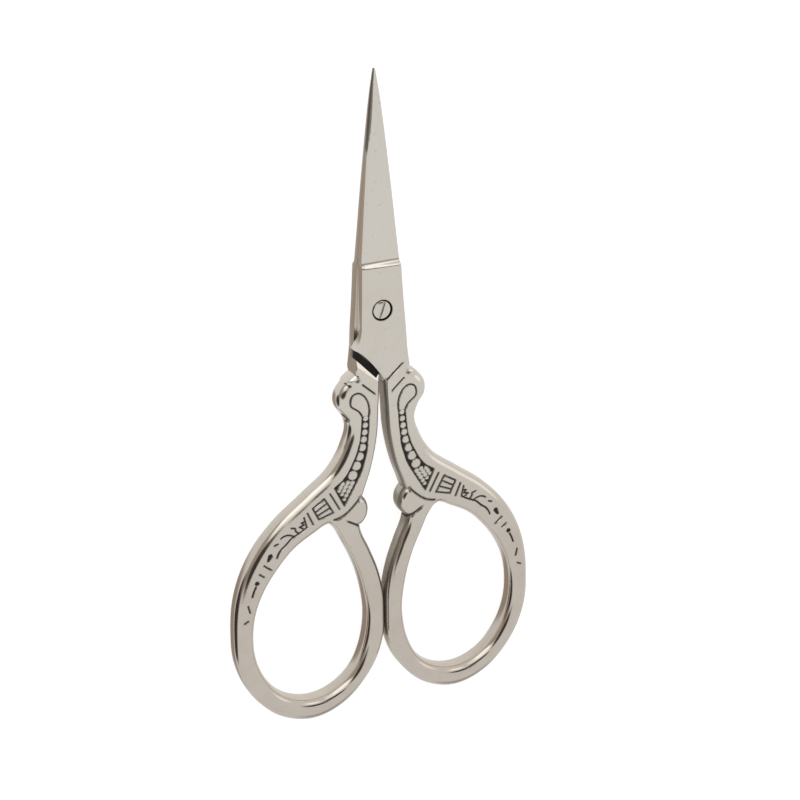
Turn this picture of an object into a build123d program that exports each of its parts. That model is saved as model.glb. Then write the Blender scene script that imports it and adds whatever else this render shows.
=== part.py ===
from build123d import *
import math
import os

# Scissors lying closed on their back: X to the right, Y towards the tip, Z up out of the
# screw side. The origin is on the pivot axis, in the plane that the back rests on. All in mm.

# Driving dimensions
blade_reach = 41.0          # pivot axis to tip
handle_reach = 76.0         # pivot axis to the bottom of the rings
half_width = 28.7           # centre line to the outside of a ring
thickness = 4.2             # both halves together, at the handles and the pivot
lap_gap = 0.06              # air between the two halves where they lie on each other
ring_gap = 0.12             # air between the closed rings, where they come to rest
edge_round = 1.65           # rounding along the handles, front and back
overrun = 1.0               # how far a cutter passes the surface that it leaves

# Blade
block_end = 7.5             # where the flat pivot block stops and the ground face begins
ground_start = 8.5          # where the ground face has reached its depth
spine_thickness = 1.7       # of one blade along its back, at ground_start
edge_thickness = 1.42       # of one blade along its cutting edge, at ground_start
tip_thickness = 0.3         # of one blade at the tip
tip_half_width = 0.14

# Knob between neck and ring
knob_x = 6.25
knob_drop = 36.5            # below the pivot
knob_radius = 3.4
knob_round = 1.65

# Pivot screw, a shoulder screw held in the back half
head_radius = 1.64
head_height = 0.85
head_crown = 0.18           # how far the head domes up in the middle
head_clearance = 0.2        # round the head, in its recess
seat_gap = 0.04             # under the head
shank_radius = 1.1
shank_clearance = 0.05      # in the front half, which turns on the shank
thread_radius = 0.95
thread_clearance = 0.01     # in the back half, which holds the thread
slot_width = 0.5
slot_depth = 0.3
slot_turn = 20.0            # degrees from the length of the scissors

# Outlines of the half whose handle is on the right. Each pair is a share of half_width and
# a share of handle_reach, or of blade_reach on the blade. Plus is towards the tip.
blade_edge_shares = [(0.024, 0.915), (0.049, 0.766), (0.070, 0.620), (0.090, 0.471),
                     (0.108, 0.324), (0.122, 0.215)]
block_edge_shares = [(0.127, 0.095), (0.142, 0.0), (0.153, -0.053), (0.162, -0.105),
                     (0.176, -0.145)]
tuck_shares = [(0.120, -0.180), (0.085, -0.180)]
shoulder_shares = [(0.008, -0.166), (-0.018, -0.151), (-0.077, -0.121), (-0.146, -0.094),
                   (-0.178, -0.086)]
lug_flare_shares = [(-0.178, -0.086), (-0.153, -0.071), (-0.138, -0.054), (-0.132, -0.030)]
lap_step_shares = [(0.047, -0.158), (0.202, -0.096)]
neck_start_shares = [(0.166, -0.118), (0.177, -0.145)]
bump_shares = [(0.240, -0.164), (0.290, -0.192), (0.289, -0.218), (0.244, -0.245),
               (0.223, -0.268)]
outer_shares = [(0.253, -0.316), (0.335, -0.368), (0.509, -0.421), (0.693, -0.474),
                (0.822, -0.526), (0.909, -0.579), (0.976, -0.651), (1.0, -0.737),
                (0.988, -0.816), (0.941, -0.871), (0.854, -0.924), (0.704, -0.976),
                (0.488, -1.0), (0.279, -0.975), (0.129, -0.921), (0.045, -0.868),
                (0.010, -0.822)]
meeting_share = -0.757      # where the rings come nearest each other
ring_wall_share = 0.0579    # half of the slimmest wall, of half_width
neck_turn_share = 0.0218    # tightest turn of the outline, of handle_reach
inner_shares = [(0.007, -0.700), (0.042, -0.638), (0.096, -0.582), (0.150, -0.530),
                (0.156, -0.480), (0.120, -0.425), (0.091, -0.395), (0.054, -0.342),
                (0.031, -0.289), (0.023, -0.237), (0.016, -0.191), (0.012, -0.118)]
opening_shares = [(0.345, -0.507), (0.362, -0.5015), (0.385, -0.503), (0.453, -0.516),
                  (0.592, -0.547), (0.697, -0.588), (0.784, -0.634), (0.843, -0.684),
                  (0.871, -0.750), (0.854, -0.816), (0.798, -0.868), (0.676, -0.921),
                  (0.488, -0.944), (0.314, -0.924), (0.221, -0.891), (0.159, -0.842),
                  (0.130, -0.792), (0.124, -0.750), (0.139, -0.700), (0.172, -0.645),
                  (0.209, -0.605), (0.256, -0.566)]

mid = thickness / 2
lap = mid + lap_gap / 2             # underside of the front half's block and blade
rim_round = min(edge_round, ring_wall_share * half_width, neck_turn_share * handle_reach)
recess_radius = head_radius + head_clearance
head_seat = thickness - head_height - seat_gap
span = half_width + handle_reach + blade_reach
up, down = (0, 1), (0, -1)


def at(share, reach=handle_reach):
    """The point that a pair of shares stands for."""
    return Vector(share[0] * half_width, share[1] * reach)


def points(shares, reach=handle_reach):
    return [at(share, reach) for share in shares]


def heading(before, here, after):
    """The way that a smooth line runs at a point: the nearer neighbour counts for more."""
    back, on = here - before, after - here
    return (back * (on.length / back.length) + on * (back.length / on.length)).normalized()


def arc_pair(start, start_way, end, end_way):
    """Two arcs that touch without a kink and run from start to end in the given ways."""
    gap = end - start
    both = start_way + end_way
    turn = 2 * (1 - start_way.dot(end_way))
    along = gap.dot(both)
    if turn < both.length * 1e-9:
        reach = gap.length / 2
    else:
        reach = (math.sqrt(along ** 2 + turn * gap.dot(gap)) - along) / turn
    joint = (start + end + (start_way - end_way) * reach) / 2
    first = TangentArc(start, joint, tangent=start_way)
    return [first, TangentArc(joint, end, tangent=first % 1)]


def open_curve(stops, start_way, end_way):
    """A smooth line of arcs through the stops."""
    ways = [Vector(*start_way)]
    ways += [heading(*stops[i - 1:i + 2]) for i in range(1, len(stops) - 1)]
    ways += [Vector(*end_way)]
    arcs = []
    for i in range(len(stops) - 1):
        arcs += arc_pair(stops[i], ways[i], stops[i + 1], ways[i + 1])
    return arcs


def closed_curve(stops):
    """A smooth closed line of arcs through the stops."""
    start_way = heading(stops[-1], stops[0], stops[1])
    return open_curve(stops + stops[:1], start_way, start_way)


def handle():
    """Neck, arm and ring in the full thickness, rounded along every edge."""
    meeting = Vector(ring_gap / 2, meeting_share * handle_reach)
    stops = points(neck_start_shares + bump_shares + outer_shares) + [meeting]
    stops += points(inner_shares)
    first, last = stops[0], stops[-1]
    crown = (first + last) / 2 + Vector(0, (first - last).X / 2)
    side = open_curve(stops, down, up)
    outline = Wire(side + [ThreePointArc(last, crown, first)])
    opening = Wire(closed_curve(points(opening_shares)))
    blank = extrude(Face(outline, [opening]), thickness, dir=(0, 0, 1), clean=False)
    return fillet(blank.edges().filter_by(Plane.XY), rim_round)


def knob():
    disc = extrude(Pos(knob_x, -knob_drop) * Circle(knob_radius), thickness)
    return fillet(disc.edges().filter_by(GeomType.CIRCLE), knob_round)


def plate():
    """Pivot block and blade, half as thick as the handle, with the shoulder's lug."""
    tip = Vector(tip_half_width, blade_reach)
    edge_side = [tip] + points(blade_edge_shares, blade_reach)
    spine_side = [Vector(-point.X, point.Y) for point in reversed(edge_side)]
    block_side = points(block_edge_shares)
    shoulder = points(shoulder_shares)
    flare = points(lug_flare_shares)
    outline = (
        Spline(*edge_side)
        + Line(edge_side[-1], block_side[0])
        + Spline(*block_side)
        + Polyline(block_side[-1], *points(tuck_shares), shoulder[0])
        + Spline(*shoulder)
        + Spline(*flare)
        + Line(flare[-1], spine_side[0])
        + Spline(*spine_side)
        + Line(spine_side[-1], tip)
    )
    return Pos(Z=lap) * extrude(make_face(outline), thickness - lap)


def half_space(origin, along, normal):
    """Everything on the side of a plane that its normal points to."""
    plane = Plane(origin=origin, x_dir=along, z_dir=normal)
    return plane.location * Box(span, span, span, align=(Align.CENTER, Align.CENTER, Align.MIN))


def ground_away():
    """What the grinding took off the blade: its face falls to the edge and to the tip."""
    reach = blade_edge_shares[-1][0] * half_width
    spine = Vector(-reach, ground_start, lap + spine_thickness)
    edge = Vector(reach, ground_start, lap + edge_thickness)
    tip = Vector(0, blade_reach, lap + tip_thickness)
    across = edge - spine
    face = half_space(spine, across, across.cross(tip - spine))
    fall = Vector(0, ground_start - block_end, (spine.Z + edge.Z) / 2 - thickness)
    side = Vector(1, 0, 0)
    facet = half_space((0, block_end, thickness), side, side.cross(fall))
    return face & facet


def lap_room():
    """Where the other half's block lies: under this half, beyond the slanting step."""
    low, high = points(lap_step_shares)
    along = (high - low).normalized() * span
    outline = Polyline(low - along, high + along, (-span, blade_reach + overrun),
                       low - along)
    return Pos(Z=-overrun) * extrude(make_face(outline), lap + overrun)


def half():
    """One half of the scissors: the one that lies in front, with its handle on the right."""
    body = handle() + knob()
    body -= lap_room()
    return body + (plate() - ground_away())


def turned_over(body):
    """The same forging turned about the length of the scissors, as the back half."""
    return body.rotate(Axis((0, 0, mid), (0, 1, 0)), 180)


def drill(radius, low, high):
    return Pos(Z=low) * Cylinder(radius, high - low, align=(Align.CENTER, Align.CENTER, Align.MIN))


def front_half():
    bore = drill(shank_radius + shank_clearance, 0, thickness + overrun)
    recess = drill(recess_radius, head_seat, thickness + overrun)
    return half() - bore - recess


def back_half():
    return turned_over(half()) - drill(thread_radius + thread_clearance, -overrun, thickness)


def pivot_screw():
    """Domed slotted head, smooth shank for the front half, thinner end in the back half."""
    crown_radius = (head_radius ** 2 + head_crown ** 2) / (2 * head_crown)
    head = drill(head_radius, head_seat + seat_gap, thickness)
    head &= Pos(Z=thickness - crown_radius) * Sphere(crown_radius)
    slot = Box(slot_width, 2 * head_radius + overrun, 2 * slot_depth)
    head -= Pos(Z=thickness) * Rot(Z=-slot_turn) * slot
    shank = drill(shank_radius, mid - lap_gap / 2, head_seat + seat_gap)
    thread = drill(thread_radius, 0, mid - lap_gap / 2)
    return head + shank + thread


nodes = {"front_half": front_half, "back_half": back_half, "pivot_screw": pivot_screw}

os.makedirs("parts", exist_ok=True)
for name, make in nodes.items():
    export_step(make(), f"parts/{name}.step")
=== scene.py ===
"""Small embroidery scissors with scroll handles, lying closed on a pale floor.

Each half is one closed skin, a ribbon of rows that runs from the tip down the blade, the block,
the neck and the arm, once round the finger ring and back into the arm under the knob. Shapes are
worked out in millimetres, with X to the right, Y towards the tip and Z up, and put into metres
when a mesh is made.
"""
import bpy
import math
import numpy as np
from mathutils import Matrix, Vector


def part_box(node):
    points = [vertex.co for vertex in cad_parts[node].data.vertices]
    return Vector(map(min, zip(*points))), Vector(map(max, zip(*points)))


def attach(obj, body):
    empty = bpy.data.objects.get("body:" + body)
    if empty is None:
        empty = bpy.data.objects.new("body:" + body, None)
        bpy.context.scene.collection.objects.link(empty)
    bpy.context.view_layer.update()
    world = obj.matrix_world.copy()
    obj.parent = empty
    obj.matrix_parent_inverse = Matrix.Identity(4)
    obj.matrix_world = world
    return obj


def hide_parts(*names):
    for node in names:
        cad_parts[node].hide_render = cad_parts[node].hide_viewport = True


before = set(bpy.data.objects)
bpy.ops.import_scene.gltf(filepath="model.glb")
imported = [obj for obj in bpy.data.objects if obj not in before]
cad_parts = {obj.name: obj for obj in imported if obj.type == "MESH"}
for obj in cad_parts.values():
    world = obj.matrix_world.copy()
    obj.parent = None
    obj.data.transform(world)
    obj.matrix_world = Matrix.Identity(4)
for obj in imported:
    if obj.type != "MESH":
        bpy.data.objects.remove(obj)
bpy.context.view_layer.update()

MM = 0.001

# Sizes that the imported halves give
half_low, half_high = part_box("front_half")
half_width = half_high.x / MM
handle_reach = -half_low.y / MM
blade_reach = half_high.y / MM
thickness = half_high.z / MM
screw_low, screw_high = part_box("pivot_screw")
head_radius = screw_high.x / MM
screw_top = screw_high.z / MM

# Sizes that the halves are made to
lap_gap = 0.06
lap = (thickness + lap_gap) / 2
ring_gap = 0.12
block_end, ground_start = 7.5, 8.5
spine_thickness, edge_thickness, tip_thickness = 1.7, 1.42, 0.3
tip_half_width = 0.14
knob_middle, knob_radius = np.array([6.25, -36.5]), 3.4
knob_start, knob_end, knob_stops = math.radians(132), math.radians(237.9), 5

# The hole round the pivot: recess and bore in the front half, threaded hole in the back half.
# A lip is a strip round the rim with painted shade, given by its width and where the painted shade
# has faded out again.
# The grid's cells that are nearer the pivot than the window, both ways, make way for the hole.
recess_radius, recess_floor = 1.84, 3.31
bore_radius, thread_hole_radius = 1.15, 0.96
recess_lip, recess_shade_end = 0.06, 0.2
thread_lip, thread_shade_end, thread_lip_drop = 0.04, 0.12, 0.01
rim_drop = 0.08
# Painted shade on the lip round each hole
front_lip_shade, back_lip_shade = 0.2, 0.4
hole_window = 2.5

# The screw, with the worn rim of its head, the lean of the slot's walls and the chamfer at its
# flush end
shank_radius, thread_radius = 1.1, 0.95
shank_end = thickness - lap
head_seat, head_crown = 3.35, 0.18
head_rim_width, head_rim_height = 0.16, 0.14
slot_width, slot_depth, slot_turn = 0.36, 0.25, math.radians(20)
slot_lean = 0.02
end_chamfer, end_chamfer_height = 0.1, 0.12
# Painted shade in the slot and round the head's rim, where it meets the recess
slot_shade, head_rim_shade, rim_shade_width = 0.35, 0.9, 0.1

# Edge finish: the chamfer under the step, widening to the right, the bevel along the blade's
# back, and the facet that is ground into it near the tip
chamfer_narrow, chamfer_wide, chamfer_slope = 0.2, 0.8, 0.65
bevel_width, bevel_share, bevel_depth = 0.445, 0.222, 0.1
facet_start, facet_full, facet_slope, facet_share = 26.3, 31.5, 1.3, 0.8
least_facet_share, least_blade = 0.01, 0.04

# Painted shade and painted dark reflections: in the step's gap, along the sides that face the
# other half, on the back of the tip and in the corner at the blade's ground face; how black they
# are, and where they start and end
step_gap_shade_span = (1.2, 1.5)
facing_side_shade, side_rim_share, side_rim, side_fade = 0.8, 0.35, 0.08, (0.14, 0.34)
tip_dark_reflection, tip_reflection_span, tip_core_share = 0.85, (26.0, 28.0), 0.5
corner_dark_reflection, corner_reach = 0.5, (0.06, 0.2)

# Air over the floor, and a distance beyond any on the scissors
floor_gap = 0.02
far = 1e3

# Outline of the half whose ring is on the right. Each pair is a share of half_width and a
# share of handle_reach, or of blade_reach on the blade. Plus is towards the tip.
blade_edge_shares = [(0.024, 0.915), (0.049, 0.766), (0.070, 0.620), (0.090, 0.471),
                     (0.108, 0.324), (0.122, 0.215)]
block_edge_shares = [(0.127, 0.095), (0.142, 0.0), (0.153, -0.053), (0.162, -0.105),
                     (0.177, -0.145)]
lug_shares = [(-0.132, -0.030), (-0.138, -0.054), (-0.153, -0.071), (-0.178, -0.086)]
shoulder_shares = [(-0.178, -0.086), (-0.146, -0.094), (-0.077, -0.121), (-0.018, -0.151),
                   (0.008, -0.166)]
neck_inner_shares = [(0.0150, -0.171), (0.016, -0.191), (0.023, -0.237), (0.031, -0.289),
                     (0.054, -0.342), (0.091, -0.395), (0.120, -0.425)]
outer_shares = [(0.177, -0.145), (0.240, -0.164), (0.290, -0.192), (0.289, -0.218),
                (0.244, -0.245), (0.223, -0.268), (0.253, -0.316), (0.335, -0.368),
                (0.509, -0.421), (0.693, -0.474), (0.822, -0.526), (0.909, -0.579),
                (0.976, -0.651), (1.0, -0.737), (0.988, -0.816), (0.941, -0.871),
                (0.854, -0.924), (0.704, -0.976), (0.488, -1.0), (0.279, -0.975),
                (0.129, -0.921), (0.045, -0.868), (0.010, -0.822)]
meeting_share = -0.757
leg_inner_shares = [(0.007, -0.700), (0.042, -0.638), (0.096, -0.582), (0.150, -0.530)]
opening_shares = [(0.362, -0.5015), (0.385, -0.503), (0.453, -0.516), (0.592, -0.547),
                  (0.697, -0.588), (0.784, -0.634), (0.843, -0.684), (0.871, -0.750),
                  (0.854, -0.816), (0.798, -0.868), (0.676, -0.921), (0.488, -0.944),
                  (0.314, -0.924), (0.221, -0.891), (0.159, -0.842), (0.130, -0.792),
                  (0.124, -0.750), (0.139, -0.700), (0.172, -0.645), (0.209, -0.605),
                  (0.256, -0.566), (0.345, -0.507), (0.362, -0.5015)]

# Where the two sides of the ribbon face each other, by the number of the stop along each side,
# with the width of the finer band at each side and the rows up to the next pair.
STATIONS = [
    (0, 0, 0.6, 0.3, 80),
    (5.82, 5.82, 0.6, 0.3, 20),
    (6.146, 7, 0.6, 0.3, 40),
    (7, 8.566, 0.6, 0.3, 22),
    (10, 9.45, 0.5, 0.6, 50),
    (15, 10.165, 1.2, 1.6, 1),
    (15.013, 10.172, 1.2, 1.6, 90),
    (17.6, 16, 1.65, 1.65, 70),
    (20, 18, 1.65, 1.65, 30),
    (22, 18.6, 1.8, 1.8, 44),
    (26, 18.88, 1.9, 1.8, 52),
    (27, 19.26, 1.9, 1.8, 52),
    (30, 20.35, 1.65, 1.65, 66),
    (32, 22.4, 1.65, 1.65, 50),
    (34, 24.08, 1.65, 1.65, 24),
    (36, 26.05, 1.65, 1.65, 32),
    (38, 29, 1.65, 1.65, 28),
    (40, 31.2, 1.65, 1.65, 26),
    (43, 34, 1.65, 1.65, 20),
    (45, 35.9, 1.65, 1.65, 16),
    (47, 37.35, 1.65, 1.65, 20),
    (49, 39, 1.65, 1.65, 0),
]
# The row of the step under the block, and the rows whose left side the last row closes on
STEP_STATION, CHORD_STATION, APEX_STATION = 5, 10, 11
band_columns, middle_columns = 6, 40
widest_band_share = 0.3

# Stretches of each side between two stops, with how far in and how far down the edge is rounded
LEFT_EDGES = [(0, 15, 0.12, 0.1), (15, 22, 0.95, 1.3), (22, 26, 1.5, 1.5), (27, 49, 1.5, 1.6)]
RIGHT_EDGES = [(0, 11, 0.12, 0.1), (11, 12.1, 1.4, 1.0), (12, 15, 2.6, 1.6), (15, 33, 2.3, 1.6),
               (33, 39, 1.6, 1.6)]
# The blade's back on the left side, and the sides that face the other half, which get painted
# shade: the neck on the left side and the ring on the right side
SPINE = (0, 10)
NECK_SIDE, LEG_SIDE = (15.4, 26), (33, 39)

# Engraving on the handle, in millimetres: straight lines, curves, then beads with their radii.
# A stroke has its full depth over a share of its width, and a dot over a share of its radius.
stroke_width, stroke_depth, stroke_core_share = 0.25, 0.16, 0.3
engraved_edge, dot_core_share = 0.09, 0.7
crease_width, crease_reach, crease_depth = 0.3, 0.5, 0.16
LINES = [
    [(1.65, -14.9), (3.85, -12.9)],
    [(4.5, -11.7), (4.8, -12.2)],
    [(5.05, -30.0), (7.75, -34.7), (9.45, -31.1), (7.95, -30.1)],
    [(10.35, -32.0), (8.65, -35.2)],
    [(11.45, -32.7), (13.65, -34.1), (12.55, -36.4), (9.85, -35.6), (11.45, -32.7)],
    [(10.95, -33.6), (13.25, -35.0)],
    [(10.4, -34.6), (12.9, -35.7)],
    [(14.65, -34.8), (13.65, -37.1)],
    [(15.3, -35.5), (14.85, -37.4)],
    [(15.2, -36.3), (15.8, -36.4), (15.35, -36.9), (16.2, -37.1), (15.6, -37.5)],
    [(16.5, -38.2), (16.9, -37.8), (17.0, -37.2), (17.7, -37.0)],
    [(20.3, -39.5), (20.9, -39.7)],
    [(21.75, -44.1), (22.95, -43.1)],
    [(23.05, -45.2), (23.85, -44.6)],
    [(24.6, -46.8), (25.0, -47.6), (25.35, -48.6)],
    [(26.15, -50.2), (25.85, -51.5)],
    [(26.25, -53.1), (26.95, -53.5)],
]
CURVES = [
    [(2.8, -18.6), (2.75, -17.2), (3.05, -16.0), (3.75, -14.9), (4.85, -14.3), (5.75, -14.6),
     (6.2, -15.6), (6.05, -16.5), (5.25, -17.2), (4.65, -17.7), (4.1, -18.6)],
    [(3.2, -24.0), (3.35, -25.0), (3.85, -27.0), (4.45, -28.8), (5.05, -30.0)],
    [(4.7, -24.0), (4.95, -25.0), (5.85, -27.0), (6.85, -28.8), (7.95, -30.1)],
    [(14.85, -37.4), (16.35, -38.3), (17.65, -38.9), (18.85, -40.0), (19.85, -40.8),
     (20.55, -42.1)],
    [(17.2, -38.8), (17.75, -38.4), (18.55, -38.2), (19.65, -38.6)],
]
FRONT_LINE = [[(0.75, -12.7), (3.55, -10.2)]]
BACK_LINE = [[(7.3, -18.1), (6.75, -18.6), (6.4, -19.2), (6.65, -19.7)]]
CREASES = [
    [(4.75, -33.8), (6.05, -35.2), (7.75, -36.5), (9.65, -37.1)],
    [(7.15, -37.9), (5.35, -39.0), (4.4, -39.7)],
]
BEADS = [(3.42, -19.15, 0.48), (3.5, -20.4, 0.5), (3.62, -21.7, 0.53), (3.82, -23.0, 0.57),
         (4.12, -24.45, 0.67), (4.66, -26.05, 0.75), (5.28, -27.7, 0.81), (6.02, -29.35, 0.84)]
SEEDS = [(6.12, -30.77, 0.44), (6.52, -31.46, 0.44), (6.92, -32.15, 0.42), (7.32, -32.85, 0.4),
         (7.68, -33.52, 0.34), (7.0, -30.55, 0.42), (7.38, -31.2, 0.42), (7.75, -31.85, 0.42),
         (8.12, -32.5, 0.36), (7.97, -30.57, 0.4), (8.32, -31.18, 0.4), (8.67, -31.78, 0.36)]
CHANNEL = [(2.7, -18.7), (2.8, -21.0), (3.0, -23.0), (3.3, -25.0), (3.85, -27.0),
           (4.45, -28.8), (5.05, -30.0), (7.75, -34.7), (9.45, -31.1), (7.95, -30.1),
           (6.85, -28.8), (5.85, -27.0), (5.0, -25.0), (4.55, -23.0), (4.3, -21.0),
           (4.15, -18.7)]
DOTS = [(21.75, -41.55, 0.52), (21.95, -41.95, 0.42), (22.15, -42.3, 0.3), (24.35, -46.2, 0.5)]


def at(shares, reach):
    """Points from pairs of shares: of half_width across and of the given reach along."""
    return np.array(shares) * (half_width, reach)


class Rail:
    """One side of the ribbon: smooth lines end to end, numbered by their stops.

    A stop's direction is the mean of its two chords, each weighted by the other's length, and
    a line's end mirrors its neighbour's. Between stops runs a cubic as long-armed as an arc.
    """

    sharpest_turn = -0.9
    steps_per_run = 24

    def __init__(self, *lines):
        starts, ends, start_pulls, end_pulls = [], [], [], []
        for stops, closed in lines:
            chords = np.diff(stops, axis=0)
            size = np.hypot(*chords.T)[:, None]
            unit = chords / size
            way = np.zeros_like(stops)
            way[1:-1] = unit[:-1] * size[1:] + unit[1:] * size[:-1]
            if closed:
                way[[0, -1]] = unit[-1] * size[0] + unit[0] * size[-1]
            elif len(stops) == 2:
                way[:] = unit
            way /= np.maximum(np.hypot(*way.T)[:, None], 1e-9)
            if not closed and len(stops) > 2:
                way[0] = 2 * (way[1] @ unit[0]) * unit[0] - way[1]
                way[-1] = 2 * (way[-2] @ unit[-1]) * unit[-1] - way[-2]
            turn = np.clip((way[:-1] * way[1:]).sum(1), self.sharpest_turn, 1)[:, None]
            pull = size * 2 / (1 + np.sqrt((1 + turn) / 2))
            starts.append(stops[:-1])
            ends.append(stops[1:])
            start_pulls.append(way[:-1] * pull)
            end_pulls.append(way[1:] * pull)
        self.parts = [np.vstack(part) for part in (starts, start_pulls, ends, end_pulls)]
        runs = len(self.parts[0])
        self.fine = np.linspace(0, runs, self.steps_per_run * runs + 1)
        steps = np.hypot(*np.diff(self.at(self.fine), axis=0).T)
        self.length = np.concatenate([[0], np.cumsum(steps)])

    def at(self, place):
        """Points at the given places: 3.5 is halfway between stops 3 and 4."""
        number = np.clip(np.floor(place).astype(int), 0, len(self.parts[0]) - 1)
        t = (place - number)[:, None]
        start, start_pull, end, end_pull = [part[number] for part in self.parts]
        return (start * (1 + 2 * t) * (1 - t) ** 2 + start_pull * t * (1 - t) ** 2
                + end * t * t * (3 - 2 * t) - end_pull * t * t * (1 - t))

    def rows(self, places, marks):
        """The rail at each row: between two stations the rows lie evenly."""
        lengths = np.interp(places, self.fine, self.length)
        return self.at(np.interp(np.interp(np.arange(marks[-1] + 1), marks, lengths),
                                 self.length, self.fine))

    def dashes(self, first, last, step=0.12):
        """A stretch as short straight dashes."""
        low, high = np.interp([first, last], self.fine, self.length)
        ends = np.linspace(low, high, int((high - low) / step) + 2)
        return dashes_along(self.at(np.interp(ends, self.length, self.fine)))


def dashes_along(points):
    """The runs between points: their middles, directions and half lengths."""
    chord = np.diff(points, axis=0)
    size = np.hypot(*chord.T)
    return (points[1:] + points[:-1]) / 2, chord / size[:, None], size / 2


def distance(x, y, dashes, block=4000):
    """How far each spot is from the nearest dash: off its side, or off its end when past it."""
    middles, ways, halves = dashes
    spots = np.stack([x.ravel(), y.ravel()], 1)
    found = []
    for first in range(0, len(spots), block):
        part = spots[first:first + block]
        gap = part[:, None, :].astype(np.float32) - middles[None].astype(np.float32)
        near = np.argmin((gap ** 2).sum(2), 1)
        away = part - middles[near]
        along = np.abs((away * ways[near]).sum(1)) - halves[near]
        off = away[:, 0] * ways[near, 1] - away[:, 1] * ways[near, 0]
        found.append(np.hypot(off, np.maximum(along, 0)))
    return np.concatenate(found).reshape(x.shape)


def line_distance(x, y, lines):
    """How far each spot is from the nearest of the straight runs between the lines' points."""
    best = np.full(x.shape, far)
    for line in lines:
        points = np.array(line)
        for (ax, ay), (bx, by) in zip(points[:-1], points[1:]):
            run = (bx - ax) ** 2 + (by - ay) ** 2
            t = np.clip(((x - ax) * (bx - ax) + (y - ay) * (by - ay)) / run, 0, 1)
            best = np.minimum(best, np.hypot(x - ax - t * (bx - ax), y - ay - t * (by - ay)))
    return best


def inside(x, y, corners):
    """True where a spot is inside the corners: a ray from it crosses an odd number of sides."""
    points = np.array(corners)
    odd = np.zeros(x.shape, bool)
    for (ax, ay), (bx, by) in zip(points, np.roll(points, -1, axis=0)):
        crosses = (ay > y) != (by > y)
        with np.errstate(divide="ignore", invalid="ignore"):
            odd ^= crosses & (x < ax + (y - ay) * (bx - ax) / (by - ay))
    return odd


def smoothstep(value, low, high):
    """0 up to low and 1 from high on, with three t squared less two t cubed between them."""
    t = np.clip((value - low) / (high - low), 0, 1)
    return t * t * (3 - 2 * t)


def rounded(gap, width, height):
    """How far an edge has fallen at a distance from the outline: a quarter of an ellipse."""
    return height * (1 - np.sqrt(1 - np.clip(1 - gap / width, 0, 1) ** 2))


def smooth_line(points, per_run=8):
    """A smooth line through engraved points, as a finer list of points."""
    if len(points) < 3:
        return points
    rail = Rail((np.array(points, float), False))
    return rail.at(np.linspace(0, len(points) - 1, per_run * (len(points) - 1) + 1))


def engraving(x, y, own_lines):
    """Depth of the engraving and how black it is.

    A stroke's depth steps down smoothly with the distance from its line. The channel's floor is
    what lies inside the channel's outline and outside every bead, with a soft edge at both. A
    crease is a wider valley, black only along its middle.
    """
    lines = LINES + [smooth_line(curve) for curve in CURVES] + own_lines
    gap = line_distance(x, y, lines)
    cut = 1 - smoothstep(gap, stroke_core_share * stroke_width, stroke_width)
    bead_gap = np.full(x.shape, far)
    for bx, by, radius in BEADS + SEEDS:
        bead_gap = np.minimum(bead_gap, np.hypot(x - bx, y - by) - radius)
    channel_gap = line_distance(x, y, [CHANNEL + CHANNEL[:1]])
    channel_gap = np.where(inside(x, y, CHANNEL), channel_gap, -channel_gap)
    floor = (smoothstep(bead_gap, -engraved_edge, engraved_edge)
             * smoothstep(channel_gap, -engraved_edge, engraved_edge))
    dot = np.zeros(x.shape)
    for dx, dy, radius in DOTS:
        off = np.hypot(x - dx, y - dy)
        dot = np.maximum(dot, 1 - smoothstep(off, dot_core_share * radius, radius))
    black = np.maximum(np.maximum(cut, dot), floor)
    crease = line_distance(x, y, [smooth_line(line) for line in CREASES])
    depth = stroke_depth * black + crease_depth * (1 - smoothstep(crease, 0, crease_reach))
    crease_core = stroke_core_share * crease_width
    return depth, np.maximum(black, 1 - smoothstep(crease, crease_core, crease_width))


def column_places(side_left, side_right, marks, band_left, band_right):
    """Shares of the way across each row: finer towards both sides, even in the middle."""
    rows = np.arange(len(side_left))
    width = np.hypot(*(side_right - side_left).T)
    low, high = [np.minimum(np.interp(rows, marks, band) / width, widest_band_share)[:, None]
                 for band in (band_left, band_right)]
    band = 1 - np.cos(np.linspace(0, math.pi / 2, band_columns + 1))[None]
    middle = np.linspace(0, 1, middle_columns + 1)[None, 1:-1]
    return np.hstack([low * band, low + (1 - low - high) * middle, 1 - (high * band)[:, ::-1]])


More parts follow.
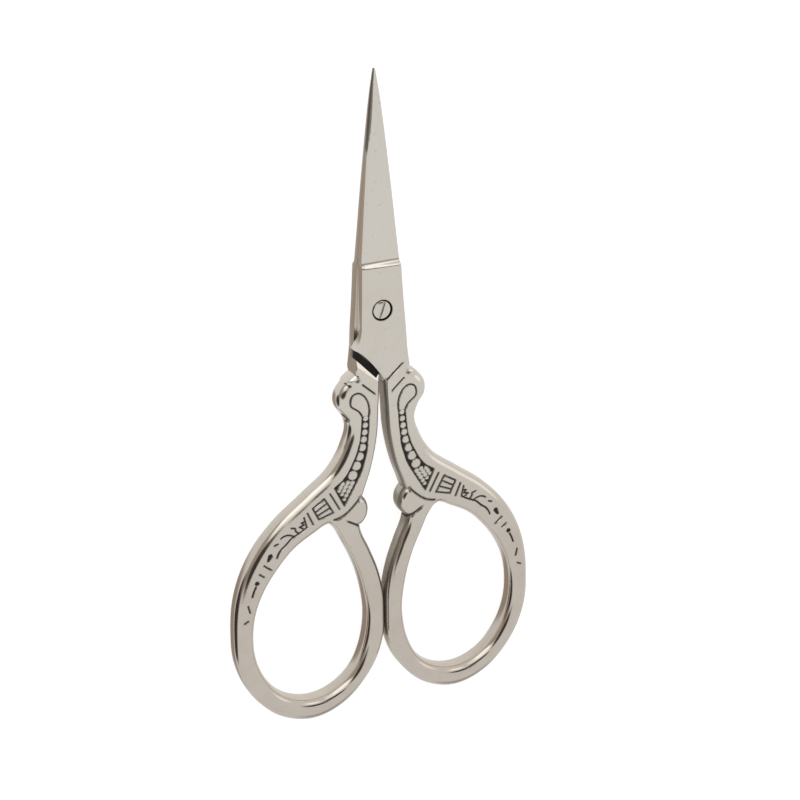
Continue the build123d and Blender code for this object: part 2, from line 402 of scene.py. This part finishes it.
def half_grid():
    """The ribbon's grid: x and y of every row and column, with what the heights need.

    A spot is the left side's point of its row plus its column's share of the way across to the
    right side's point. The last row lies on the left side's own stretch from the apex back to
    the chord, where the finger ring closes. With it go the fall of the rounded edges, the
    distance from the blade's back and that from the sides that face the other half.
    """
    turn = np.linspace(knob_start, knob_end, knob_stops)
    knob = knob_middle + knob_radius * np.stack([np.cos(turn), np.sin(turn)], 1)
    tip = np.array([[tip_half_width, blade_reach]])
    edge = np.vstack([tip, at(blade_edge_shares, blade_reach)])
    spine = edge * (-1, 1)
    block = at(block_edge_shares, handle_reach)
    lug = at(lug_shares, handle_reach)
    shoulder = at(shoulder_shares, handle_reach)
    neck = at(neck_inner_shares, handle_reach)
    opening = at(opening_shares, handle_reach)
    meeting = np.array([[ring_gap / 2, meeting_share * handle_reach]])
    outside = np.vstack([at(outer_shares, handle_reach), meeting,
                         at(leg_inner_shares, handle_reach), knob[-1:]])
    left = Rail((spine, False), (np.vstack([spine[-1:], lug[:1]]), False), (lug, False),
                (shoulder, False), (np.vstack([shoulder[-1:], neck[:1]]), False),
                (np.vstack([neck, knob[:1]]), False), (knob, False),
                (np.vstack([knob[-1:], opening[:1]]), False), (opening, True))
    right = Rail((edge, False), (np.vstack([edge[-1:], block[:1]]), False), (block, False),
                 (outside, False))
    places_left, places_right, band_left, band_right, counts = np.array(STATIONS, float).T
    marks = np.concatenate([[0], np.cumsum(counts[:-1])]).astype(int)
    side_left, side_right = left.rows(places_left, marks), right.rows(places_right, marks)
    across = column_places(side_left, side_right, marks, band_left, band_right)
    first, last = marks[CHORD_STATION], marks[APEX_STATION]
    closing = side_left[-1] + across[-1][:, None] * (side_right[-1] - side_left[-1])
    side_left[first:last + 1] = closing[::-1]
    across = column_places(side_left, side_right, marks, band_left, band_right)
    x, y = (side_left[:, None, k] + across * (side_right - side_left)[:, None, k]
            for k in (0, 1))
    fall = np.zeros(x.shape)
    for rail, edges in ((left, LEFT_EDGES), (right, RIGHT_EDGES)):
        for start, end, width, height in edges:
            gap = distance(x, y, rail.dashes(start, end))
            fall = np.maximum(fall, rounded(gap, width, height))
    side_gap = np.minimum(distance(x, y, left.dashes(*NECK_SIDE)),
                          distance(x, y, right.dashes(*LEG_SIDE)))
    return x, y, fall, distance(x, y, left.dashes(*SPINE)), side_gap, marks


def blade_top(x, y):
    """The ground face: a plane through spine, edge and tip, with a smooth step up to the block."""
    reach = blade_edge_shares[-1][0] * half_width
    spine = np.array([-reach, ground_start, lap + spine_thickness])
    edge = np.array([reach, ground_start, lap + edge_thickness])
    tip = np.array([0, blade_reach, lap + tip_thickness])
    normal = np.cross(edge - spine, tip - spine)
    face = spine[2] - (normal[0] * (x - spine[0]) + normal[1] * (y - spine[1])) / normal[2]
    return thickness + smoothstep(y, block_end, ground_start) * (face - thickness)


def back_of_blade(top, spine_gap, x, y):
    """How much is ground off along the blade's back, and how wide the facet is there.

    The bevel falls evenly over its width to the back. The facet falls more steeply, over a
    width that grows from nothing to the bevel's, and takes no more than a share of the blade.
    """
    across = np.hypot(x[:, -1:] - x[:, :1], y[:, -1:] - y[:, :1])
    width = np.minimum(bevel_width, bevel_share * across)
    bevel = bevel_depth * np.clip(1 - spine_gap / width, 0, 1)
    grown = np.clip((y - facet_start) / (facet_full - facet_start), least_facet_share, 1)
    facet_width = width * grown
    depth = np.minimum(facet_slope * facet_width, facet_share * (top - lap))
    facet = depth * np.clip(1 - spine_gap / facet_width, 0, 1)
    return np.maximum(bevel, facet), facet_width


def painted_sides_and_tip(y, side_gap, spine_gap, facet_width):
    """How black the painted shade along the sides that face the other half and the painted dark
    reflection on the back of the tip are.

    Along the sides it grows a little away from the corner and then fades smoothly. At the tip
    it fills the facet's outer part and fades over the rest.
    """
    # Painted shade along the sides that face the other half
    rise = side_rim_share + (1 - side_rim_share) * smoothstep(side_gap, 0, side_rim)
    sides = facing_side_shade * rise * (1 - smoothstep(side_gap, *side_fade))
    # Painted dark reflection over the outer part of the facet near the tip
    over_facet = 1 - smoothstep(spine_gap, tip_core_share * facet_width, facet_width)
    return np.maximum(sides, tip_dark_reflection * smoothstep(y, *tip_reflection_span) * over_facet)


def half_skin(hole_profile):
    """Vertices, faces and blackness of one half.

    The top falls from the face by the engraving and by the rounding of the edges or, where it
    is deeper, what is ground off the blade's back. The underside is flat above the step. Below
    the step it is the same rounded, engraved face, with a chamfer along the step that falls
    evenly over a width growing from left to right. A wall joins the two along the outline, and
    round the pivot a profile of radius and height is carried round from the upper to the lower
    hole.
    """
    x, y, edge_fall, spine_gap, side_gap, marks = half_grid()
    step_row = marks[STEP_STATION]
    on_handle = np.arange(len(x))[:, None] > step_row
    top_cut, top_black = engraving(x, y, FRONT_LINE)
    low_cut, low_black = engraving(x, y, BACK_LINE)
    face = blade_top(x, y)
    ground, facet_width = back_of_blade(face, spine_gap, x, y)
    top = np.maximum(face - np.maximum(edge_fall, ground) - top_cut, lap + least_blade)
    step_gap = distance(x, y, dashes_along(np.stack([x[step_row], y[step_row]], 1)))
    chamfer_width = np.interp(x, (x[step_row].min(), x[step_row].max()),
                              (chamfer_narrow, chamfer_wide))
    chamfer = chamfer_slope * np.maximum(chamfer_width - step_gap, 0)
    under = np.where(on_handle, np.maximum(edge_fall, chamfer) + low_cut, lap)
    # Painted shade on the inner sides and a painted dark reflection at the tip
    dark = painted_sides_and_tip(y, side_gap, spine_gap, facet_width)
    # Painted dark reflection: a thin black line across the face where the ground blade meets the
    # block
    corner = corner_dark_reflection * (1 - smoothstep(np.abs(y - ground_start), *corner_reach))
    top_black = np.maximum.reduce([top_black, dark, corner])
    # Painted shade: the lap face goes black near the step, where the gap between the halves lies
    # in shade
    hole_and_gap_shade = 1 - smoothstep(step_gap, *step_gap_shade_span)
    low_black = np.maximum(np.where(on_handle, low_black, hole_and_gap_shade), dark)
    return skin_mesh(x, y, top, under, top_black, low_black, marks, hole_profile)


def quads(*corners):
    """Faces from four arrays of vertex numbers, one array for each corner."""
    return np.stack([corner.ravel() for corner in corners], 1)


def skin_mesh(x, y, top, under, top_black, low_black, marks, hole_profile):
    """Joins the two sheets: outline walls, the closing seam under the knob, and the hole.

    Upper and lower sheet share the grid, and the last row's spots are those of the left side
    from the apex back to the chord. The hole's patch leaves a loop of spots on each sheet, and
    each ring of the profile has a spot at every loop spot's angle round the pivot.
    """
    row_count, column_count = x.shape
    first, last = marks[CHORD_STATION], marks[APEX_STATION]
    sheet = (row_count - 1) * column_count
    number = np.arange(row_count * column_count).reshape(row_count, column_count)
    number[-1] = number[first:last + 1, 0][::-1]
    lower = number + sheet
    verts = [np.stack([x[:-1], y[:-1], z[:-1]], -1).reshape(-1, 3) for z in (top, under)]
    black = [top_black[:-1].ravel(), low_black[:-1].ravel()]
    keep = np.ones((row_count - 1, column_count - 1), bool)
    near = (np.abs(x) < hole_window) & (np.abs(y) < hole_window)
    hole_rows = np.flatnonzero(near.any(1))
    hole_columns = np.flatnonzero(near[hole_rows].all(0))
    r0, r1 = hole_rows[0], hole_rows[-1]
    c0, c1 = hole_columns[0], hole_columns[-1]
    keep[r0:r1, c0:c1] = False
    up = quads(number[:-1, :-1], number[1:, :-1], number[1:, 1:], number[:-1, 1:])
    down = quads(lower[:-1, :-1], lower[:-1, 1:], lower[1:, 1:], lower[1:, :-1])
    walled = np.ones(row_count - 1, bool)
    walled[first:last] = False
    left = quads(number[:-1, 0], lower[:-1, 0], lower[1:, 0], number[1:, 0])[walled]
    right = quads(number[:-1, -1], number[1:, -1], lower[1:, -1], lower[:-1, -1])
    end = quads(number[0, :-1], number[0, 1:], lower[0, 1:], lower[0, :-1])
    loop = np.concatenate([np.stack([np.full(c1 - c0, r0), np.arange(c0, c1)], 1),
                           np.stack([np.arange(r0, r1), np.full(r1 - r0, c1)], 1),
                           np.stack([np.full(c1 - c0, r1), np.arange(c1, c0, -1)], 1),
                           np.stack([np.arange(r1, r0, -1), np.full(r1 - r0, c0)], 1)])
    rim = (loop[:, 0], loop[:, 1])
    angle = np.arctan2(y[rim], x[rim])
    start = 2 * sheet
    rings = [number[rim]]
    # Each ring's third number is its painted shade; the walls inside the hole are painted fully
    # black as shade
    for radius, height, hole_and_gap_shade in hole_profile:
        verts.append(np.stack([radius * np.cos(angle), radius * np.sin(angle),
                               np.full(len(angle), height)], 1))
        black.append(np.full(len(angle), hole_and_gap_shade))
        rings.append(start + np.arange(len(angle)))
        start += len(angle)
    rings = np.array(rings + [lower[rim]])
    around = np.roll(rings, -1, axis=1)
    hole = quads(rings[:-1], rings[1:], around[1:], around[:-1])
    kept = keep.ravel()
    faces = np.vstack([up[kept], down[kept], left, right, end, hole])
    return np.vstack(verts), faces, np.concatenate(black)


def make_piece(name, verts, faces, black, node, body, slot, material, sharp_degrees=28):
    """A mesh object from whole arrays, in metres, riding on its body in its node's place."""
    mesh = bpy.data.meshes.new(name)
    mesh.vertices.add(len(verts))
    mesh.vertices.foreach_set("co", (verts * MM).astype(np.float32).ravel())
    sizes = np.full(len(faces), faces.shape[1])
    mesh.loops.add(faces.size)
    mesh.loops.foreach_set("vertex_index", faces.ravel().astype(np.int32))
    mesh.polygons.add(len(faces))
    mesh.polygons.foreach_set("loop_start", (np.cumsum(sizes) - sizes).astype(np.int32))
    mesh.update(calc_edges=True)
    mesh.validate()
    # Blackness per vertex: the engraving's black fill together with painted shade and painted dark
    # reflections
    patina_and_shade = mesh.attributes.new("patina_and_shade", "FLOAT", "POINT")
    patina_and_shade.data.foreach_set("value", black.astype(np.float32))
    mesh.shade_smooth()
    mesh.set_sharp_from_angle(angle=math.radians(sharp_degrees))
    mesh.materials.append(material)
    piece = bpy.data.objects.new(name, mesh)
    bpy.context.scene.collection.objects.link(piece)
    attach(piece, body)
    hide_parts(node)
    return piece


def turned_over(verts):
    """The same skin turned about the length of the scissors."""
    return np.stack([-verts[:, 0], verts[:, 1], thickness - verts[:, 2]], 1)


def recess_profile():
    """The front half's hole from the face down: lip, recess for the head, bore, each ring with its
    painted shade, fully black on the walls inside the hole.
    """
    return [(recess_radius + recess_shade_end, thickness, 0),
            (recess_radius + recess_lip, thickness, front_lip_shade),
            (recess_radius, thickness - rim_drop, 1), (recess_radius, recess_floor, 1),
            (bore_radius, recess_floor, 1), (bore_radius, lap, 1)]


def thread_hole_profile():
    """The back half's hole from the face down: lip, then the hole for the thread, each ring with
    its painted shade, fully black on the walls inside the hole.
    """
    return [(thread_hole_radius + thread_shade_end, thickness, 0),
            (thread_hole_radius + thread_lip, thickness - thread_lip_drop, back_lip_shade),
            (thread_hole_radius, thickness - rim_drop, 1), (thread_hole_radius, lap, 1)]


def head_chords(slot_chords=5, side_chords=14, inside_rim=0.998):
    """How far each chord of the head is from its middle: even over the slot, then by a sine."""
    wall = slot_width / 2
    reach = head_radius * inside_rim - wall - slot_lean
    side = wall + slot_lean + reach * np.sin(np.linspace(0, math.pi / 2, side_chords))
    half_line = np.concatenate([np.linspace(0, wall, slot_chords), side])
    return np.concatenate([-half_line[:0:-1], half_line])


def screw_skin(chord_spots=29):
    """Domed head with a slot, then a profile of radius and height down to the thread's end.

    The head is a grid of chords that run along the slot, so its walls follow the grid. Its
    height is that of a sphere through rim and crown, less a rounding at the rim, and the slot's
    floor where a chord lies in the slot. The end is the same grid, smaller and flat.
    """
    spread = np.sin(np.linspace(-math.pi / 2, math.pi / 2, chord_spots))
    across, along = np.meshgrid(head_chords(), spread, indexing="ij")
    along = along * np.sqrt(head_radius ** 2 - across ** 2)
    radius = np.hypot(across, along)
    dome = (head_radius ** 2 + head_crown ** 2) / (2 * head_crown)
    height = screw_top - dome + np.sqrt(dome ** 2 - radius ** 2)
    height = height - rounded(head_radius - radius, head_rim_width, head_rim_height)
    in_slot = np.abs(across) < (slot_width + slot_lean) / 2
    height = np.where(in_slot, screw_top - slot_depth, height)
    x = across * math.cos(slot_turn) + along * math.sin(slot_turn)
    y = along * math.cos(slot_turn) - across * math.sin(slot_turn)
    number = np.arange(x.size).reshape(x.shape)
    top = quads(number[:-1, :-1], number[1:, :-1], number[1:, 1:], number[:-1, 1:])
    loop = np.concatenate([number[:-1, 0], number[-1, :-1], number[:0:-1, -1],
                           number[0, :0:-1]])
    loop_x, loop_y = x.ravel()[loop] / head_radius, y.ravel()[loop] / head_radius
    verts = [np.stack([x, y, height], -1).reshape(-1, 3)]
    rings, start = [loop], x.size
    profile = [(head_radius, head_seat), (shank_radius, head_seat), (shank_radius, shank_end),
               (thread_radius, shank_end), (thread_radius, end_chamfer_height)]
    for ring_radius, ring_height in profile:
        verts.append(np.stack([loop_x * ring_radius, loop_y * ring_radius,
                               np.full(len(loop), ring_height)], 1))
        rings.append(start + np.arange(len(loop)))
        start += len(loop)
    scale = (thread_radius - end_chamfer) / head_radius
    verts.append(np.stack([x * scale, y * scale, np.zeros(x.shape)], -1).reshape(-1, 3))
    rings = np.array(rings + [start + loop])
    around = np.roll(rings, -1, axis=1)
    walls = quads(rings[:-1], rings[1:], around[1:], around[:-1])
    verts = np.vstack(verts)
    # Painted shade: the head darkens towards its rim and in the slot
    head_edge_shade = smoothstep(radius, head_radius - rim_shade_width, head_radius)
    black = np.zeros(len(verts))
    black[:x.size] = np.minimum(slot_shade * in_slot + head_rim_shade * head_edge_shade, 1).ravel()
    return verts, np.vstack([top, walls, start + top[:, ::-1]]), black


class Signal:
    """A shader socket that takes part in Python sums: each operator adds a Math node."""

    def __init__(self, graph, socket):
        self.graph, self.socket = graph, socket

    def math(self, operation, first, second):
        return self.graph.node("ShaderNodeMath", {"operation": operation}, (first, second))

    def __add__(self, other):
        return self.math("ADD", self, other)

    def __sub__(self, other):
        return self.math("SUBTRACT", self, other)

    def __rsub__(self, other):
        return self.math("SUBTRACT", other, self)

    def __mul__(self, other):
        return self.math("MULTIPLY", self, other)

    __radd__, __rmul__ = __add__, __mul__


class Graph:
    """The node tree of a material or a world."""

    def __init__(self, owner):
        owner.use_nodes = True
        self.tree = owner.node_tree
        self.tree.nodes.clear()

    def node(self, kind, settings=None, values=(), output=0):
        """Adds a node: its settings first, then its sockets by number or by name."""
        node = self.tree.nodes.new(kind)
        for key, value in (settings or {}).items():
            setattr(node, key, value)
        pairs = values.items() if isinstance(values, dict) else enumerate(values)
        for key, value in pairs:
            if isinstance(value, Signal):
                self.tree.links.new(value.socket, node.inputs[key])
            else:
                node.inputs[key].default_value = value
        return Signal(self, node.outputs[output]) if node.outputs else node

    def noise(self, vector, scale, detail=3.0):
        """Clouds from 0 to 1, so many to the metre."""
        return self.node("ShaderNodeTexNoise", {}, {"Vector": vector, "Scale": scale,
                                                    "Detail": detail})

    def streaks(self, vector, scales, detail=4.0):
        """Clouds with a number to the metre of their own along each axis."""
        squeezed = self.node("ShaderNodeMapping", {}, {"Vector": vector, "Scale": scales})
        return self.noise(squeezed, 1.0, detail)

    def rise(self, value, low, high, top=1.0, kind="LINEAR"):
        """0 up to low and top from high on."""
        return self.node("ShaderNodeMapRange", {"interpolation_type": kind},
                         (value, low, high, 0.0, top))

    def mix(self, factor, first, second):
        """The first colour, with a share of it replaced by the second."""
        return self.node("ShaderNodeMix", {"data_type": "RGBA"}, {0: factor, 6: first,
                                                                  7: second}, 2)


# Tones of the steel: the plate between its warm and its pale places, the ground blade, the darker
# tone painted on the rings as shade, small specks, and the black that fills the engraving and is
# painted as shade and dark reflections in gaps, holes, sides and corners
WARM_PLATE, PALE_PLATE = (0.78, 0.725, 0.645, 1), (0.86, 0.81, 0.735, 1)
GROUND_BLADE, RING_SHADE_TONE = (0.9, 0.85, 0.77, 1), (0.69, 0.62, 0.54, 1)
SPECK, BLACK_FILL_AND_SHADE = (0.5, 0.44, 0.37, 1), (0.016, 0.014, 0.013, 1)

# Where along the scissors the ground blade and the painted shade on the rings begin and are full,
# in metres
GRINDING = (0.0070, 0.0088)
RING_SHADE_SPAN = (-0.016, -0.05)

# Clouds to the metre: the haze on the plate, its fine mottle with specks where it is strongest,
# the grain along the ground blade and the rubbing across the scissors
HAZE, MOTTLE = 260.0, 1400.0
SPECK_RANGE, SPECK_SHARE = (0.62, 0.72), 0.25
GRAIN, RUBBING = (9000.0, 500.0, 900.0), (700.0, 2600.0, 700.0)
RELIEF_SHARE, RELIEF_DEPTH = 0.35, 0.00002


def plated_steel(name):
    """Polished plate with faint haze, a satin ground blade, black in the engraving, and painted
    shade and painted dark reflections in the same black.
    """
    material = bpy.data.materials.new(name)
    g = Graph(material)
    place = g.node("ShaderNodeTexCoord", output=3)
    along = g.node("ShaderNodeSeparateXYZ", {}, (place,), 1)
    # Blackness from the engraving's fill and from painted shade and painted dark reflections
    black = g.node("ShaderNodeAttribute", {"attribute_name": "patina_and_shade"}, output=2)
    blade = g.rise(along, *GRINDING, kind="SMOOTHSTEP")
    haze = g.noise(place, HAZE)
    mottle = g.noise(place, MOTTLE, detail=5.0)
    grain = g.streaks(place, GRAIN)
    rubbing = g.streaks(place, RUBBING)
    tint = g.mix(haze, WARM_PLATE, PALE_PLATE)
    tint = g.mix(blade * 0.6, tint, GROUND_BLADE)
    # Painted shade: the rings get a darker tone, uneven with the haze
    tint = g.mix(g.rise(along, *RING_SHADE_SPAN) * (0.35 + haze * 0.9), tint, RING_SHADE_TONE)
    tint = g.mix(g.rise(mottle, *SPECK_RANGE, top=SPECK_SHARE), tint, SPECK)
    polish = 0.05 + haze * 0.08 + mottle * 0.05 + blade * (0.07 + grain * 0.08)
    relief = g.node("ShaderNodeBump", {}, {
        "Strength": RELIEF_SHARE, "Distance": RELIEF_DEPTH,
        "Height": grain * blade + rubbing * 0.4 + haze * 1.3})
    shader = g.node("ShaderNodeBsdfPrincipled", {}, {
        "Base Color": g.mix(black, tint, BLACK_FILL_AND_SHADE), "Metallic": 1 - black * 0.75,
        "Roughness": polish + black * 0.4, "Normal": relief})
    g.node("ShaderNodeOutputMaterial", {}, (shader,))
    return material


def floor_stage(reach=1.5):
    """A plain pale floor under the scissors that reaches so many metres to each side."""
    material = bpy.data.materials.new("pale_floor")
    g = Graph(material)
    shader = g.node("ShaderNodeBsdfPrincipled", {}, {
        "Base Color": (0.5, 0.5, 0.5, 1), "Roughness": 0.85, "Emission Color": (1, 1, 1, 1),
        "Emission Strength": 0.8})
    g.node("ShaderNodeOutputMaterial", {}, (shader,))
    mesh = bpy.data.meshes.new("floor")
    level = -floor_gap * MM
    mesh.from_pydata([(-reach, -reach, level), (reach, -reach, level), (reach, reach, level),
                      (-reach, reach, level)], [], [(0, 1, 2, 3)])
    mesh.materials.append(material)
    floor = bpy.data.objects.new("floor", mesh)
    bpy.context.scene.collection.objects.link(floor)
    floor.visible_glossy = False


# The studio: where a light or a dark gap stands, by its turn from the right and its height in
# degrees, then where it is full and where it ends in degrees from there, and its colour
SKY_TONE, BACKDROP = (0.7, 0.7, 0.7, 1), (0.97, 0.97, 0.97, 1)
SKY = [
    ((-140, -52), 14, 32, (0.35, 0.3, 0.26, 1)),
    ((-165, 5), 19, 29, (0.05, 0.044, 0.04, 1)),
    ((165, 28), 10, 26, (0.3, 0.25, 0.21, 1)),
    ((172, 58), 12, 20, (0.05, 0.045, 0.04, 1)),
    ((145, 22), 12, 26, (0.4, 0.34, 0.28, 1)),
    ((40, -45), 20, 70, (0.8, 0.79, 0.77, 1)),
    ((-66, 5), 6, 20, (0.42, 0.4, 0.375, 1)),
    ((12, 27), 6, 15, (1.04, 1.03, 1.01, 1)),
    ((86, 74), 7, 13, (0.04, 0.037, 0.035, 1)),
    ((20, 70), 6, 12, (0.05, 0.045, 0.04, 1)),
    ((57, 44), 6, 15, (1.2, 1.18, 1.15, 1)),
    ((114, 41), 20, 26, (1.0, 0.985, 0.96, 1)),
    ((120, 32), 12, 20, (1.4, 1.38, 1.35, 1)),
]


def studio_light():
    """A tent of even light with brighter and darker patches.

    Each patch takes over from the tone under it as the direction comes within its reach. The
    camera itself sees a plain pale backdrop.
    """
    world = bpy.data.worlds.new("studio")
    bpy.context.scene.world = world
    g = Graph(world)
    direction = g.node("ShaderNodeTexCoord", output=0)
    tone = SKY_TONE
    for (turn, height), full, end, colour in SKY:
        turn, height, full, end = np.radians((turn, height, full, end)).tolist()
        centre = (math.cos(turn) * math.cos(height), math.sin(turn) * math.cos(height),
                  math.sin(height))
        near = g.node("ShaderNodeVectorMath", {"operation": "DOT_PRODUCT"},
                      (direction, centre), 1)
        tone = g.mix(g.rise(near, math.cos(end), math.cos(full), kind="SMOOTHSTEP"), tone, colour)
    seen = g.node("ShaderNodeLightPath")
    sky = g.node("ShaderNodeBackground", {}, (g.mix(seen, tone, BACKDROP), 1.0))
    g.node("ShaderNodeOutputWorld", {}, (sky,))
    bpy.context.scene.view_settings.view_transform = "Standard"


def photo_camera():
    """The photograph's view: turned to the left of the scissors, raised towards the tip."""
    turn, rise, roll = math.radians(-24.357), math.radians(22.1154), math.radians(-0.6645)
    far_off, shift_right, shift_up = 353.944, -2.9079, 15.1055
    aim = Vector((0.05, 0, thickness))
    back = Vector((math.sin(turn) * math.cos(rise), math.sin(rise),
                   math.cos(turn) * math.cos(rise)))
    level = (-back).cross(Vector((0, 1, 0))).normalized()
    upright = level.cross(-back)
    right = math.cos(roll) * level + math.sin(roll) * upright
    up = -math.sin(roll) * level + math.cos(roll) * upright
    place = aim + back * far_off - right * shift_right - up * shift_up
    camera = bpy.data.objects.new("camera", bpy.data.cameras.new("camera"))
    camera.data.lens = 94.5
    camera.data.sensor_width = 36
    camera.data.clip_start = 0.01
    facing = Matrix((right, up, back)).transposed().to_4x4()
    camera.matrix_world = Matrix.Translation(place * MM) @ facing
    bpy.context.scene.collection.objects.link(camera)
    bpy.context.scene.camera = camera


steel, screw_steel = plated_steel("plated_steel"), plated_steel("screw_steel")
front, back = half_skin(recess_profile()), half_skin(thread_hole_profile())
make_piece("front_blade_and_ring", *front, "front_half", "front", "plated_steel", steel)
make_piece("back_blade_and_ring", turned_over(back[0]), *back[1:], "back_half", "back",
           "plated_steel", steel)
make_piece("slotted_screw", *screw_skin(), "pivot_screw", "back", "screw_steel", screw_steel)
floor_stage()
studio_light()
photo_camera()
